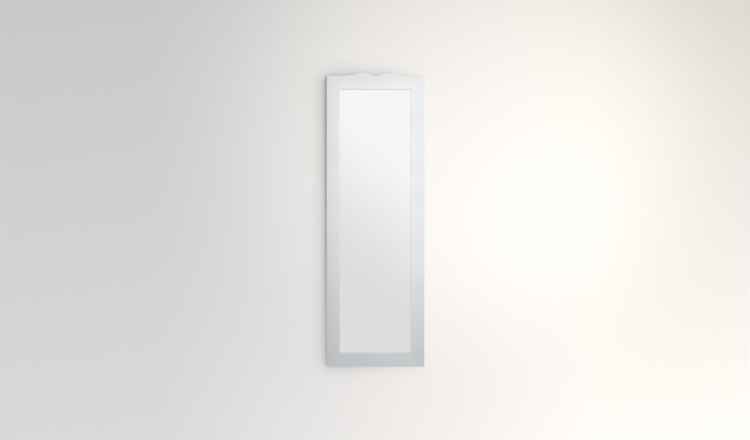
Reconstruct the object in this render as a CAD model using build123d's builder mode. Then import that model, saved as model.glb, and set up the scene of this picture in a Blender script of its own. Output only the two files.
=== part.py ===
from build123d import *

import os
from math import asin, atan2, cos, degrees, hypot, radians, sin

# A full-length wall mirror. Four mitred frame members carry the glass in a rebate that is
# open at the back, and the top rail rises in two humps with a dip between them. Two ring
# hangers on the back carry the mirror and four soft bumpers keep it off the wall.
#
# X runs to the right as seen from the front, Y runs into the wall and Z is up. The origin
# lies on the wall, midway between the two points where the rings hang. All sizes are in mm.

# Frame members
overall_width = 400.0
overall_height = 1200.0  # from the bottom edge to the tops of the two humps
face_width = 55.0  # from the outer edge to the sight edge, on all four sides
frame_depth = 20.0
corner_radius = 4.0
front_round = 3.0  # on the outer front edges
sight_round = 1.5  # on the front edges beside the glass
back_break = 0.8  # bevel on the outer back edges

# Top edge, from the centre line outwards and from the shoulders upwards
hump_rise = 12.5
hump_out = 52.0
foot_out = 140.0
valley_radius = 34.0

# Rebate and the sheets that lie in it
lip_thickness = 8.0  # what is left of the member in front of the glass
rebate_width = 10.0
sheet_side_gap = 1.0
sheet_top_gap = 2.0
glass_thickness = 4.0
glass_arris = 0.5
film_thickness = 0.2
film_inset = 2.0
foam_thickness = 1.5
board_thickness = 3.0

# Steel points that hold the backing board in
point_length = 15.0
point_grip = 8.0  # how much of the length is in the wood
point_width = 6.0
point_tip = 3.0  # length of the pointed end
point_thickness = 0.5
side_points = 5
end_points = 2
point_corner_gap = 90.0  # from the rebate's corner to the first point of a side

# Steel nails, bent to a V, that draw each mitre together from the back
nail_leg = 6.0
nail_thickness = 0.6
nail_height = 10.0
nail_half_angle = 52.0
outer_nail_inset = 16.0  # from both outer edges of the frame to the nail's fold
nail_pitch = 17.0

# Ring hangers
hook_drop = 200.0  # from the shoulders down to the points where the rings hang
strap_thickness = 1.0
strap_side_gap = 0.5  # between the strap and the round of the ring's corner
strap_end_margin = 8.0  # from the lower screw to the strap's end
strap_end_round = 6.3
strap_hole_gap = 0.3  # around the screw's shank
curl_opening = 60.0  # degrees between the curl's end and the strap
wire_diameter = 2.4  # across the corners of its section
wire_sides = 10  # flats of the section that stands for the round wire
hinge_gap = 0.15
ring_width = 20.0  # between the centres of the ring's sides
ring_corner = 2.5
ring_side = 2.5  # straight part of each side, between the corner and the bow
ring_rest_gap = 0.25  # between the raised ring and the frame behind it
ring_screw_gap = 0.6  # between the lowered ring and the upper screw's head

# Screws of the ring hangers
screw_head_diameter = 6.4
screw_head_height = 1.9
screw_head_bevel = 0.7
screw_shank_diameter = 3.2
screw_length = 13.0  # under the head
screw_tip = 3.0
screw_tip_diameter = 0.8
screw_pitch = 16.0
screw_slot_length = 3.6
screw_slot_width = 0.8
screw_slot_depth = 1.0
pilot_gap = 0.05

# Bumpers
bumper_diameter = 12.0
bumper_inset = 60.0  # from the shoulders and from the bottom edge
wall_gap = 0.3  # between the hangers' curls and the wall

# Places worked out from the sizes above. Distances from the wall count towards the front.
half_width = overall_width / 2
shoulder_z = hook_drop
bottom_z = shoulder_z + hump_rise - overall_height
sight_width = overall_width - 2 * face_width
sight_top = shoulder_z - face_width
sight_bottom = bottom_z + face_width
sight_height = sight_top - sight_bottom
middle_z = (sight_top + sight_bottom) / 2
rebate_half = sight_width / 2 + rebate_width
rebate_top = sight_top + rebate_width
rebate_bottom = sight_bottom - rebate_width
land_width = face_width - rebate_width
land_x = half_width - land_width / 2

wire_radius = wire_diameter / 2
bow_radius = ring_width / 2
ring_height = ring_corner + ring_side + bow_radius  # from the bar's centre to the bow's
curl_inside = wire_radius + hinge_gap
curl_radius = curl_inside + strap_thickness
frame_back = 2 * curl_radius + wall_gap
frame_front = frame_back + frame_depth
rebate_depth = frame_depth - lip_thickness
glass_back = frame_front - lip_thickness - glass_thickness
film_back = glass_back - film_thickness
foam_back = film_back - foam_thickness
board_back = foam_back - board_thickness
point_back = board_back - point_thickness

# The raised ring leans on the frame, and its bow's inner side is where the hook carries it
ring_lean = degrees(asin((curl_radius - wire_radius - ring_rest_gap) / ring_height))
bow_reach = ring_height - wire_radius
ring_axis_y = curl_radius - frame_back
ring_axis_z = -bow_reach * cos(radians(ring_lean))
strap_width = ring_width - 2 * (ring_corner + strap_side_gap)
upper_screw_z = ring_axis_z - (bow_reach - screw_head_diameter / 2 - ring_screw_gap)
lower_screw_z = upper_screw_z - screw_pitch
screw_seat_y = strap_thickness - frame_back
strap_end_z = lower_screw_z - strap_end_margin

os.makedirs("parts", exist_ok=True)


def save(piece, label):
    """Name a finished piece and write it."""
    piece.part.label = label
    export_step(piece.part, f"parts/{label}.step")


def turn_of_s_curve(run, rise):
    """Angle through which each of two equal and opposite arcs turns."""
    return 2 * atan2(rise, run)


# Glazing points: flat tabs with a pointed end, pushed into the rebate's wall so that the
# rest of each lies on the backing board
side_pitch = (rebate_top - rebate_bottom - 2 * point_corner_gap) / (side_points - 1)
end_pitch = (2 * rebate_half - 2 * point_corner_gap) / (end_points - 1)
point_sides = [
    # centre of the side, direction into the wood, points along the side
    ((rebate_half, middle_z), 0, side_points, side_pitch),
    ((0, rebate_top), 90, end_points, end_pitch),
    ((-rebate_half, middle_z), 180, side_points, side_pitch),
    ((0, rebate_bottom), 270, end_points, end_pitch),
]
with BuildSketch() as point_outline:
    with BuildLine():
        Polyline(
            (point_grip - point_length, point_width / 2),
            (point_grip - point_tip, point_width / 2),
            (point_grip, 0),
            (point_grip - point_tip, -point_width / 2),
            (point_grip - point_length, -point_width / 2),
            close=True,
        )
    make_face()
with BuildPart() as glazing_points:
    with BuildSketch(Plane.XZ.offset(point_back)):
        for centre, direction, count, pitch in point_sides:
            with Locations(Location((*centre, 0), (0, 0, direction))):
                with GridLocations(1, pitch, 1, count):
                    add(point_outline.sketch)
    extrude(amount=point_thickness)
save(glazing_points, "glazing_points")

# Mitre nails: two in each corner, flush with the back, opening towards the outer corner
nail_insets = [outer_nail_inset, outer_nail_inset + nail_pitch]
corners = [
    # outer corner, direction out of the frame along the mitre
    (half_width, shoulder_z, 45),
    (-half_width, shoulder_z, 135),
    (-half_width, bottom_z, 225),
    (half_width, bottom_z, 315),
]
with BuildPart() as mitre_nails:
    with BuildSketch(Plane.XZ.offset(frame_back)):
        for corner_x, corner_z, direction in corners:
            for inset in nail_insets:
                to_corner = Vector(hypot(inset, inset), 0).rotate(Axis.Z, direction)
                fold = Vector(corner_x, corner_z) - to_corner
                for leg_angle in (direction - nail_half_angle, direction + nail_half_angle):
                    with Locations(fold):
                        Rectangle(
                            nail_leg,
                            nail_thickness,
                            rotation=leg_angle,
                            align=(Align.MIN, Align.CENTER),
                        )
    extrude(amount=nail_height)
save(mitre_nails, "mitre_nails")

# Screw, standing on its head's seat with the shank below
with BuildPart() as screw:
    Cylinder(
        screw_head_diameter / 2,
        screw_head_height,
        align=(Align.CENTER, Align.CENTER, Align.MIN),
    )
    chamfer(screw.edges().sort_by(Axis.Z)[-1], length=screw_head_bevel)
    with Locations((0, 0, screw_head_height)):
        for slot_turn in (0, 90):
            Box(
                screw_slot_length,
                screw_slot_width,
                screw_slot_depth,
                rotation=(0, 0, slot_turn),
                align=(Align.CENTER, Align.CENTER, Align.MAX),
                mode=Mode.SUBTRACT,
            )
    Cylinder(
        screw_shank_diameter / 2,
        screw_length - screw_tip,
        align=(Align.CENTER, Align.CENTER, Align.MAX),
    )
    with Locations((0, 0, screw_tip - screw_length)):
        Cone(
            screw_tip_diameter / 2,
            screw_shank_diameter / 2,
            screw_tip,
            align=(Align.CENTER, Align.CENTER, Align.MAX),
        )

# Frame before it is divided: one outline with its rounds, the rebate and the seats of the
# nails and points
inner_turn = turn_of_s_curve(hump_out, hump_rise)
outer_turn = turn_of_s_curve(foot_out - hump_out, hump_rise)
hump_radius = hump_out / sin(inner_turn) - valley_radius
foot_radius = (foot_out - hump_out) / sin(outer_turn) - hump_radius
with BuildPart() as frame_blank:
    with BuildSketch(Plane.XZ.offset(frame_back)):
        with BuildLine():
            valley = JernArc((0, shoulder_z), (1, 0), valley_radius, degrees(inner_turn))
            hump = JernArc(valley @ 1, valley % 1, hump_radius, -degrees(inner_turn + outer_turn))
            foot = JernArc(hump @ 1, hump % 1, foot_radius, degrees(outer_turn))
            shoulder = Line(foot @ 1, (half_width - corner_radius, shoulder_z))
            top_corner = JernArc(shoulder @ 1, (1, 0), corner_radius, -90)
            side = Line(top_corner @ 1, (half_width, bottom_z + corner_radius))
            bottom_corner = JernArc(side @ 1, (0, -1), corner_radius, -90)
            Line(bottom_corner @ 1, (0, bottom_z))
            mirror(about=Plane.YZ)
        make_face()
        with Locations((0, middle_z)):
            Rectangle(sight_width, sight_height, mode=Mode.SUBTRACT)
    extrude(amount=frame_depth)
    fillet(frame_blank.faces().sort_by(Axis.Y)[0].outer_wire().edges(), radius=front_round)
    fillet(frame_blank.faces().sort_by(Axis.Y)[0].inner_wires()[0].edges(), radius=sight_round)
    chamfer(frame_blank.faces().sort_by(Axis.Y)[-1].outer_wire().edges(), length=back_break)
    with BuildSketch(Plane.XZ.offset(frame_back)):
        with Locations((0, middle_z)):
            Rectangle(2 * rebate_half, rebate_top - rebate_bottom)
    extrude(amount=rebate_depth, mode=Mode.SUBTRACT)
    add(mitre_nails.part, mode=Mode.SUBTRACT)
    add(glazing_points.part, mode=Mode.SUBTRACT)

# Mitre planes through the outer corners, each facing the rail that it cuts off
top_right_mitre = Plane(origin=(half_width, 0, shoulder_z), z_dir=(-1, 0, 1))
top_left_mitre = Plane(origin=(-half_width, 0, shoulder_z), z_dir=(1, 0, 1))
bottom_right_mitre = Plane(origin=(half_width, 0, bottom_z), z_dir=(-1, 0, -1))
bottom_left_mitre = Plane(origin=(-half_width, 0, bottom_z), z_dir=(1, 0, -1))

with BuildPart() as top_rail:
    add(frame_blank.part)
    split(bisect_by=top_right_mitre)
    split(bisect_by=top_left_mitre)
save(top_rail, "top_rail")

with BuildPart() as bottom_rail:
    add(frame_blank.part)
    split(bisect_by=bottom_right_mitre)
    split(bisect_by=bottom_left_mitre)
save(bottom_rail, "bottom_rail")

# Stiles, drilled from the back for the hangers' screws
stiles = [
    ("left_stile", -land_x, top_left_mitre, bottom_left_mitre, Keep.BOTTOM),
    ("right_stile", land_x, top_right_mitre, bottom_right_mitre, Keep.TOP),
]
for name, screw_x, upper_mitre, lower_mitre, side_kept in stiles:
    with BuildPart() as stile:
        add(frame_blank.part)
        split(bisect_by=upper_mitre, keep=Keep.BOTTOM)
        split(bisect_by=lower_mitre, keep=Keep.BOTTOM)
        split(bisect_by=Plane.YZ, keep=side_kept)
        for screw_z in (upper_screw_z, lower_screw_z):
            with Locations(Plane(origin=(screw_x, -frame_back, screw_z), z_dir=(0, 1, 0))):
                Hole(screw_shank_diameter / 2 + pilot_gap, depth=screw_length)
    save(stile, name)

# Sheets in the rebate, from the glass to the backing board, all standing on its lower wall
sheet_width = 2 * (rebate_half - sheet_side_gap)
sheet_height = rebate_top - rebate_bottom - sheet_top_gap
sheet_middle_z = rebate_bottom + sheet_height / 2

with BuildPart() as mirror_glass:
    with BuildSketch(Plane.XZ.offset(glass_back)):
        with Locations((0, sheet_middle_z)):
            Rectangle(sheet_width, sheet_height)
    extrude(amount=glass_thickness)
    front_and_back = mirror_glass.faces().filter_by(Axis.Y)
    chamfer(front_and_back.edges(), length=glass_arris)
save(mirror_glass, "mirror_glass")

with BuildPart() as safety_film:
    with BuildSketch(Plane.XZ.offset(film_back)):
        with Locations((0, sheet_middle_z)):
            Rectangle(sheet_width - 2 * film_inset, sheet_height - 2 * film_inset)
    extrude(amount=film_thickness)
save(safety_film, "safety_film")

with BuildPart() as foam_sheet:
    with BuildSketch(Plane.XZ.offset(foam_back)):
        with Locations((0, sheet_middle_z)):
            Rectangle(sheet_width, sheet_height)
    extrude(amount=foam_thickness)
save(foam_sheet, "foam_sheet")

with BuildPart() as backing_board:
    with BuildSketch(Plane.XZ.offset(board_back)):
        with Locations((0, sheet_middle_z)):
            Rectangle(sheet_width, sheet_height)
    extrude(amount=board_thickness)
save(backing_board, "backing_board")

# Ring hangers: a strap curled round the ring's bar and screwed to the stile, and the ring
# in its raised place
hangers = [("left", -land_x), ("right", land_x)]
for side_name, hanger_x in hangers:
    curl_centre = (ring_axis_y, ring_axis_z)
    with BuildPart() as hanger_strap:
        with BuildSketch(Plane.YZ.offset(hanger_x - strap_width / 2)):
            with Locations(curl_centre):
                Circle(curl_radius)
                Circle(curl_inside, mode=Mode.SUBTRACT)
                with BuildLine():
                    to_strap = PolarLine((0, 0), 2 * curl_radius, 180)
                    to_end = PolarLine((0, 0), 2 * curl_radius, 180 + curl_opening)
                    Line(to_strap @ 1, to_end @ 1)
                make_face(mode=Mode.SUBTRACT)
                with Locations((-curl_radius, 0)):
                    Rectangle(
                        strap_thickness,
                        ring_axis_z - strap_end_z,
                        align=(Align.MIN, Align.MAX),
                    )
        extrude(amount=strap_width)
        lower_corners = hanger_strap.edges().filter_by(Axis.Y).group_by(Axis.Z)[0]
        fillet(lower_corners, radius=strap_end_round)
        for screw_z in (upper_screw_z, lower_screw_z):
            with Locations(Plane(origin=(hanger_x, screw_seat_y, screw_z), z_dir=(0, 1, 0))):
                Hole(screw_shank_diameter / 2 + strap_hole_gap, depth=strap_thickness)
    save(hanger_strap, f"hanger_strap_{side_name}")

    lean = radians(ring_lean)
    ring_plane = Plane(
        origin=(hanger_x, *curl_centre),
        x_dir=(1, 0, 0),
        z_dir=(0, -cos(lean), -sin(lean)),
    )
    with BuildPart() as hanger_ring:
        with BuildLine(ring_plane):
            bar = Line((ring_corner - bow_radius, 0), (bow_radius - ring_corner, 0))
            right_corner = JernArc(bar @ 1, bar % 1, ring_corner, 90)
            right_side = PolarLine(right_corner @ 1, ring_side, direction=right_corner % 1)
            bow = JernArc(right_side @ 1, right_side % 1, bow_radius, 180)
            left_side = PolarLine(bow @ 1, ring_side, direction=bow % 1)
            JernArc(left_side @ 1, left_side % 1, ring_corner, 90)
        with BuildSketch(Plane(origin=bar @ 0, x_dir=ring_plane.z_dir, z_dir=bar % 0)):
            RegularPolygon(wire_radius, wire_sides, rotation=90)
        sweep()
    save(hanger_ring, f"hanger_ring_{side_name}")

with BuildPart() as hanger_screws:
    for _, hanger_x in hangers:
        for screw_z in (upper_screw_z, lower_screw_z):
            with Locations(Plane(origin=(hanger_x, screw_seat_y, screw_z), z_dir=(0, 1, 0))):
                add(screw.part)
save(hanger_screws, "hanger_screws")

# Bumpers, stuck to the stiles and touching the wall
bumpers = [
    ("bumper_top_left", -land_x, shoulder_z - bumper_inset),
    ("bumper_top_right", land_x, shoulder_z - bumper_inset),
    ("bumper_bottom_left", -land_x, bottom_z + bumper_inset),
    ("bumper_bottom_right", land_x, bottom_z + bumper_inset),
]
for name, bumper_x, bumper_z in bumpers:
    with BuildPart() as bumper:
        with Locations(Plane(origin=(bumper_x, -frame_back, bumper_z), z_dir=(0, 1, 0))):
            Cylinder(
                bumper_diameter / 2,
                frame_back,
                align=(Align.CENTER, Align.CENTER, Align.MIN),
            )
    save(bumper, name)

print(f"outline: turns {degrees(inner_turn):.2f} and {degrees(outer_turn):.2f} degrees")
print(f"outline: hump radius {hump_radius:.1f}, foot radius {foot_radius:.1f}")
print(f"glass: {sheet_width:.1f} x {sheet_height:.1f}, of which {sight_width:.1f} x {sight_height:.1f} shows")
print(f"ring: lean {ring_lean:.2f} degrees, axis y {ring_axis_y:.3f}, z {ring_axis_z:.3f}")
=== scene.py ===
from math import asin, atan2, cos, pi, radians, sin

import bmesh
import bpy
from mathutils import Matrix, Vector


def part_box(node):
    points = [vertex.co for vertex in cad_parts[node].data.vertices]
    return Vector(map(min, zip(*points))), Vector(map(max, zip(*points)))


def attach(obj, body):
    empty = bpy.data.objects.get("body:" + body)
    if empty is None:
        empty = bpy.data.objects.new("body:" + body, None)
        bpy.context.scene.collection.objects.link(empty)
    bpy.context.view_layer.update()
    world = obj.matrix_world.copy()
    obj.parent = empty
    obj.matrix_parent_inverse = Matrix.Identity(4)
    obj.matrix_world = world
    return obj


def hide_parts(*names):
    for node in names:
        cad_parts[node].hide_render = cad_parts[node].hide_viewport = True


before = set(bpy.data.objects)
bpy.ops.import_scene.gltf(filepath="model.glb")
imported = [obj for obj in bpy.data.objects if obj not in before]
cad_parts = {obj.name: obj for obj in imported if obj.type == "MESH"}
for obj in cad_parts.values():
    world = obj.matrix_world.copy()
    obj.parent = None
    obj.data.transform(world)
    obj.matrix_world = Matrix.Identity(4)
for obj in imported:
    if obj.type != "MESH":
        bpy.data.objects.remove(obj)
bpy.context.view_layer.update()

# A full-length wall mirror in a white mitred frame, seen square on against a pale wall.
# Metres, X to the right, Y into the wall, Z up. The wall is the plane y = 0.

mm = 0.001
scene = bpy.context.scene


# Helpers

def say(stage):
    print("stage:", stage)


def isSocket(source):
    return isinstance(source, bpy.types.NodeSocket)


def feed(tree, socket, source):
    # links a socket, or gives it a plain value
    if isSocket(source):
        tree.links.new(source, socket)
    else:
        socket.default_value = source


def addNode(tree, kind, inputs=None, **settings):
    node = tree.nodes.new(kind)
    for key, value in settings.items():
        setattr(node, key, value)
    for label, source in (inputs or {}).items():
        feed(tree, node.inputs[label], source)
    return node


def calc(tree, operation, a, b=0.0, clamp=False):
    return addNode(tree, "ShaderNodeMath", {0: a, 1: b}, operation=operation, use_clamp=clamp).outputs[0]


def times(tree, a, b, clamp=False):
    return calc(tree, "MULTIPLY", a, b, clamp)


def ramp(tree, value, low, high, outLow=0.0, outHigh=1.0, smooth=False):
    inputs = {"Value": value, "From Min": low, "From Max": high, "To Min": outLow, "To Max": outHigh}
    kind = "SMOOTHSTEP" if smooth else "LINEAR"
    return addNode(tree, "ShaderNodeMapRange", inputs, interpolation_type=kind).outputs["Result"]


def mixColour(tree, factor, a, b):
    a, b = (tone if isSocket(tone) else (*tone, 1) for tone in (a, b))
    return addNode(tree, "ShaderNodeMix", {0: factor, 6: a, 7: b}, data_type="RGBA").outputs[2]


def addPiece(name, mesh, replaced, body="mirror"):
    # a finished mesh becomes a piece that rides on its body and stands for its CAD nodes
    piece = bpy.data.objects.new(name, mesh)
    scene.collection.objects.link(piece)
    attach(piece, body)
    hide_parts(*replaced)
    return piece


def meshFrom(bm, name, materials, sharpAngle=35):
    bmesh.ops.recalc_face_normals(bm, faces=bm.faces)
    mesh = bpy.data.meshes.new(name)
    bm.to_mesh(mesh)
    bm.free()
    mesh.shade_smooth()
    mesh.set_sharp_from_angle(angle=radians(sharpAngle))
    for material in materials:
        mesh.materials.append(material)
    return mesh


def applyModifiers(mesh, addModifiers):
    # runs modifiers on a mesh and returns the plain result
    worker = bpy.data.objects.new("worker", mesh)
    scene.collection.objects.link(worker)
    addModifiers(worker)
    graph = bpy.context.evaluated_depsgraph_get()
    result = bpy.data.meshes.new_from_object(worker.evaluated_get(graph))
    result.name = mesh.name
    bpy.data.objects.remove(worker)
    return result


def weightNormals(worker):
    weighted = worker.modifiers.new("flat faces stay flat", "WEIGHTED_NORMAL")
    weighted.keep_sharp = True
    weighted.weight = 100


def quarterRound(radius, steps):
    # distance in from the edge and down from the face, along a round that meets both
    angles = [pi / 2 * k / steps for k in range(steps + 1)]
    return [(radius * (1 - sin(a)), radius * (1 - cos(a))) for a in angles]


# Shader groups shared by several finishes

def newGroup(name, inputs, outputs):
    tree = bpy.data.node_groups.new(name, "ShaderNodeTree")
    for label, kind, value in inputs:
        socket = tree.interface.new_socket(label, in_out="INPUT", socket_type="NodeSocket" + kind)
        if value is not None:
            socket.default_value = value
    for label, kind in outputs:
        tree.interface.new_socket(label, in_out="OUTPUT", socket_type="NodeSocket" + kind)
    return tree, tree.nodes.new("NodeGroupInput").outputs, tree.nodes.new("NodeGroupOutput").inputs


def makeGrainGroup():
    # fine surface grain: an even height field and the slower change of tone under it
    tree, given, result = newGroup(
        "surfaceGrain",
        [
            ("Vector", "Vector", None), ("Grain Size", "Float", 0.001), ("Patch Size", "Float", 0.08),
            ("Stretch", "Vector", (1, 1, 1)),
        ],
        [("Height", "Float"), ("Patches", "Float")],
    )
    placed = addNode(
        tree, "ShaderNodeVectorMath", {0: given["Vector"], 1: given["Stretch"]}, operation="MULTIPLY"
    ).outputs[0]
    fineScale = calc(tree, "DIVIDE", 1.0, given["Grain Size"])
    fine = addNode(
        tree, "ShaderNodeTexNoise", {"Vector": placed, "Scale": fineScale, "Detail": 3.0, "Roughness": 0.55}
    )
    patchScale = calc(tree, "DIVIDE", 1.0, given["Patch Size"])
    patches = addNode(
        tree, "ShaderNodeTexNoise", {"Vector": placed, "Scale": patchScale, "Detail": 2.0, "Roughness": 0.5}
    )
    tree.links.new(fine.outputs["Fac"], result["Height"])
    tree.links.new(ramp(tree, patches.outputs["Fac"], 0.3, 0.7, smooth=True), result["Patches"])
    return tree


def makeHandlingGroup():
    # dull marks left by hands and dust, strongest in a few patches
    tree, given, result = newGroup(
        "handlingMarks",
        [("Vector", "Vector", None), ("Mark Size", "Float", 0.03), ("Amount", "Float", 0.5)],
        [("Marks", "Float")],
    )
    scale = calc(tree, "DIVIDE", 1.0, given["Mark Size"])
    where = addNode(
        tree, "ShaderNodeTexNoise",
        {"Vector": given["Vector"], "Scale": scale, "Detail": 4.0, "Distortion": 0.6},
    )
    fineScale = times(tree, scale, 14.0)
    specks = addNode(
        tree, "ShaderNodeTexNoise", {"Vector": given["Vector"], "Scale": fineScale, "Detail": 2.0}
    )
    blotches = ramp(tree, where.outputs["Fac"], 0.5, 0.72, smooth=True)
    dusty = ramp(tree, specks.outputs["Fac"], 0.45, 0.7)
    marks = times(tree, blotches, calc(tree, "ADD", 0.4, times(tree, dusty, 0.6)))
    tree.links.new(times(tree, marks, given["Amount"], clamp=True), result["Marks"])
    return tree


grainGroup = makeGrainGroup()
handlingGroup = makeHandlingGroup()


def useGroup(tree, group, **inputs):
    node = tree.nodes.new("ShaderNodeGroup")
    node.node_tree = group
    for label, source in inputs.items():
        feed(tree, node.inputs[label.replace("_", " ")], source)
    return node.outputs


def grainAt(tree, place, size, patchSize, stretch=(1, 1, 1)):
    return useGroup(tree, grainGroup, Vector=place, Grain_Size=size, Patch_Size=patchSize, Stretch=stretch)


def marksAt(tree, place, size, amount):
    return useGroup(tree, handlingGroup, Vector=place, Mark_Size=size, Amount=amount)["Marks"]


def newMaterial(name, **plain):
    # a material, its tree, its Principled shader and the object coordinates
    material = bpy.data.materials.new(name)
    material.use_nodes = True
    tree = material.node_tree
    shader = tree.nodes["Principled BSDF"]
    for label, value in plain.items():
        shader.inputs[label.replace("_", " ")].default_value = value
    return material, tree, shader, tree.nodes.new("ShaderNodeTexCoord").outputs["Object"]


def addBump(tree, shader, height, distance):
    bump = addNode(tree, "ShaderNodeBump", {"Height": height, "Distance": distance})
    tree.links.new(bump.outputs["Normal"], shader.inputs["Normal"])


def dressShader(tree, shader, tone, rough, height=None, depth=0.0):
    tree.links.new(tone, shader.inputs["Base Color"])
    tree.links.new(rough, shader.inputs["Roughness"])
    if height:
        addBump(tree, shader, height, depth)


# The frame's sizes, and the places that the CAD model gives

frameSizes = {
    "cornerRadius": 4 * mm,
    "frontRound": 3 * mm,
    "sightRound": 1.5 * mm,
    "backBreak": 0.8 * mm,
    "rebateWidth": 10 * mm,
    "humpRise": 12.5 * mm,
    "humpOut": 52 * mm,  # from the middle to each hump's top
    "footOut": 140 * mm,  # from the middle to where each hump has run out
    "valleyRadius": 34 * mm,
    "grooveWidth": 0.25 * mm,  # of each member's side of a mitre's hairline
    "grooveDepth": 0.25 * mm,
    "roundSteps": 8,
    "arcStep": radians(1.2),
}
topLow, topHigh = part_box("top_rail")
bottomLow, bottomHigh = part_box("bottom_rail")
stileLow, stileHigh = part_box("left_stile")
glassLow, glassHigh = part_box("mirror_glass")
halfWidth = -stileLow.x
sightHalf = -stileHigh.x
sightTop = topLow.z
sightBottom = bottomHigh.z
shoulderZ = topHigh.z - frameSizes["humpRise"]
bottomZ = bottomLow.z
faceY = topLow.y
backY = topHigh.y
lipDepth = glassLow.y - faceY
memberDepth = backY - faceY


# Finishes

lacquer = {
    "colour": (0.835, 0.848, 0.852),
    "shade": (0.805, 0.818, 0.824),
    "roughness": (0.36, 0.46),
    "peelSize": 1.6 * mm,
    "peelDepth": 0.018 * mm,
    "patchSize": 90 * mm,
    "markSize": 55 * mm,
    "markTone": (0.76, 0.765, 0.76),
    "edgeShadeShare": 0.07,  # painted shade: share by which the lacquer is darker towards the outer edges at the sides and top than inside
    "edgeShadeReach": 55 * mm,
}


def makeLacquer():
    material, tree, shader, place = newMaterial(
        "satinWhiteLacquer", Specular_IOR_Level=0.45, Coat_Weight=0.12
    )
    shader.inputs["Coat Roughness"].default_value = 0.3
    grain = grainAt(tree, place, lacquer["peelSize"], lacquer["patchSize"])
    marks = marksAt(tree, place, lacquer["markSize"], 0.35)
    tone = mixColour(tree, grain["Patches"], lacquer["colour"], lacquer["shade"])
    tone = mixColour(tree, times(tree, marks, 0.35), tone, lacquer["markTone"])
    # painted shade: the lacquer's tone darkens towards the frame's outer edges at the sides and top
    at = addNode(tree, "ShaderNodeSeparateXYZ", {0: place}).outputs
    fromSide = calc(tree, "SUBTRACT", halfWidth, calc(tree, "ABSOLUTE", at["X"]))
    fromTop = calc(tree, "SUBTRACT", shoulderZ, at["Z"])
    inwards = calc(tree, "MINIMUM", fromSide, fromTop)
    paintedEdgeShade = ramp(tree, inwards, 0.0, lacquer["edgeShadeReach"], lacquer["edgeShadeShare"], 0.0)
    tone = mixColour(tree, paintedEdgeShade, tone, (0.0, 0.0, 0.0))
    low, high = lacquer["roughness"]
    rough = calc(tree, "ADD", ramp(tree, grain["Patches"], 0, 1, low, high), times(tree, marks, 0.12))
    dressShader(tree, shader, tone, rough, grain["Height"], lacquer["peelDepth"])
    return material


backCoat = {
    "paint": (0.74, 0.735, 0.715),
    "bare": (0.5, 0.4, 0.29),
    "fibreSize": 0.7 * mm,
    "fibreDepth": 0.06 * mm,
}


def makeBackCoat():
    # the back had one thin coat, and the board's brown fibres show through it in places
    material, tree, shader, place = newMaterial("thinCoatOnBoard", Specular_IOR_Level=0.3)
    grain = grainAt(tree, place, backCoat["fibreSize"], 45 * mm)
    rubbed = marksAt(tree, place, 40 * mm, 1.0)
    flecks = ramp(tree, grain["Height"], 0.56, 0.7, smooth=True)
    share = calc(tree, "ADD", times(tree, flecks, 0.28), times(tree, rubbed, 0.4), clamp=True)
    tone = mixColour(tree, share, backCoat["paint"], backCoat["bare"])
    rough = ramp(tree, grain["Patches"], 0, 1, 0.6, 0.8)
    dressShader(tree, shader, tone, rough, grain["Height"], backCoat["fibreDepth"])
    return material


fibreboard = {
    "light": (0.47, 0.335, 0.215),
    "dark": (0.3, 0.2, 0.12),
    "scuffed": (0.56, 0.45, 0.33),
    "fibreSize": 1.1 * mm,
    "fibreDepth": 0.09 * mm,
}


def makeFibreboard():
    material, tree, shader, place = newMaterial("brownFibreboard", Specular_IOR_Level=0.25)
    long = grainAt(tree, place, fibreboard["fibreSize"], 120 * mm, (1, 1, 0.35))
    cross = grainAt(tree, place, 0.8 * fibreboard["fibreSize"], 30 * mm, (0.4, 1, 1))
    fibres = times(tree, calc(tree, "ADD", long["Height"], cross["Height"]), 0.5)
    share = ramp(tree, fibres, 0.38, 0.62, 0.0, 0.75)
    share = calc(tree, "ADD", share, times(tree, cross["Patches"], 0.2), clamp=True)
    tone = mixColour(tree, share, fibreboard["light"], fibreboard["dark"])
    scuffs = marksAt(tree, place, 90 * mm, 0.5)
    tone = mixColour(tree, times(tree, scuffs, 0.5), tone, fibreboard["scuffed"])
    rough = ramp(tree, fibres, 0.3, 0.7, 0.68, 0.88)
    dressShader(tree, shader, tone, rough, fibres, fibreboard["fibreDepth"])
    return material


silver = {"clean": (0.925, 0.94, 0.938), "dusty": (0.88, 0.89, 0.885), "roughness": (0.012, 0.05)}


def makeSilver():
    # the reflecting face: bright silver behind clear glass, with a trace of dust
    material, tree, shader, place = newMaterial("silveredGlass", Metallic=1.0)
    dust = marksAt(tree, place, 120 * mm, 0.5)
    tone = mixColour(tree, times(tree, dust, 0.12), silver["clean"], silver["dusty"])
    dressShader(tree, shader, tone, ramp(tree, dust, 0, 1, *silver["roughness"]))
    return material


glassEdge = {"light": (0.42, 0.6, 0.53), "dark": (0.34, 0.52, 0.46), "grainSize": 0.4 * mm}


def makeGlassEdge():
    material, tree, shader, place = newMaterial("groundGlassEdge", Specular_IOR_Level=0.6, Coat_Weight=0.3)
    grain = grainAt(tree, place, glassEdge["grainSize"], 20 * mm)
    tone = mixColour(tree, grain["Patches"], glassEdge["light"], glassEdge["dark"])
    rough = ramp(tree, grain["Height"], 0.3, 0.7, 0.3, 0.5)
    dressShader(tree, shader, tone, rough, grain["Height"], 0.02 * mm)
    return material


backPaint = {"light": (0.25, 0.3, 0.29), "dark": (0.21, 0.26, 0.25), "brushSize": 2 * mm}


def makeSilverBack():
    material, tree, shader, place = newMaterial("mirrorBackPaint", Specular_IOR_Level=0.4)
    grain = grainAt(tree, place, backPaint["brushSize"], 60 * mm, (1, 1, 0.2))
    tone = mixColour(tree, grain["Patches"], backPaint["light"], backPaint["dark"])
    rough = ramp(tree, grain["Height"], 0.3, 0.7, 0.4, 0.6)
    dressShader(tree, shader, tone, rough, grain["Height"], 0.02 * mm)
    return material


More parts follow.
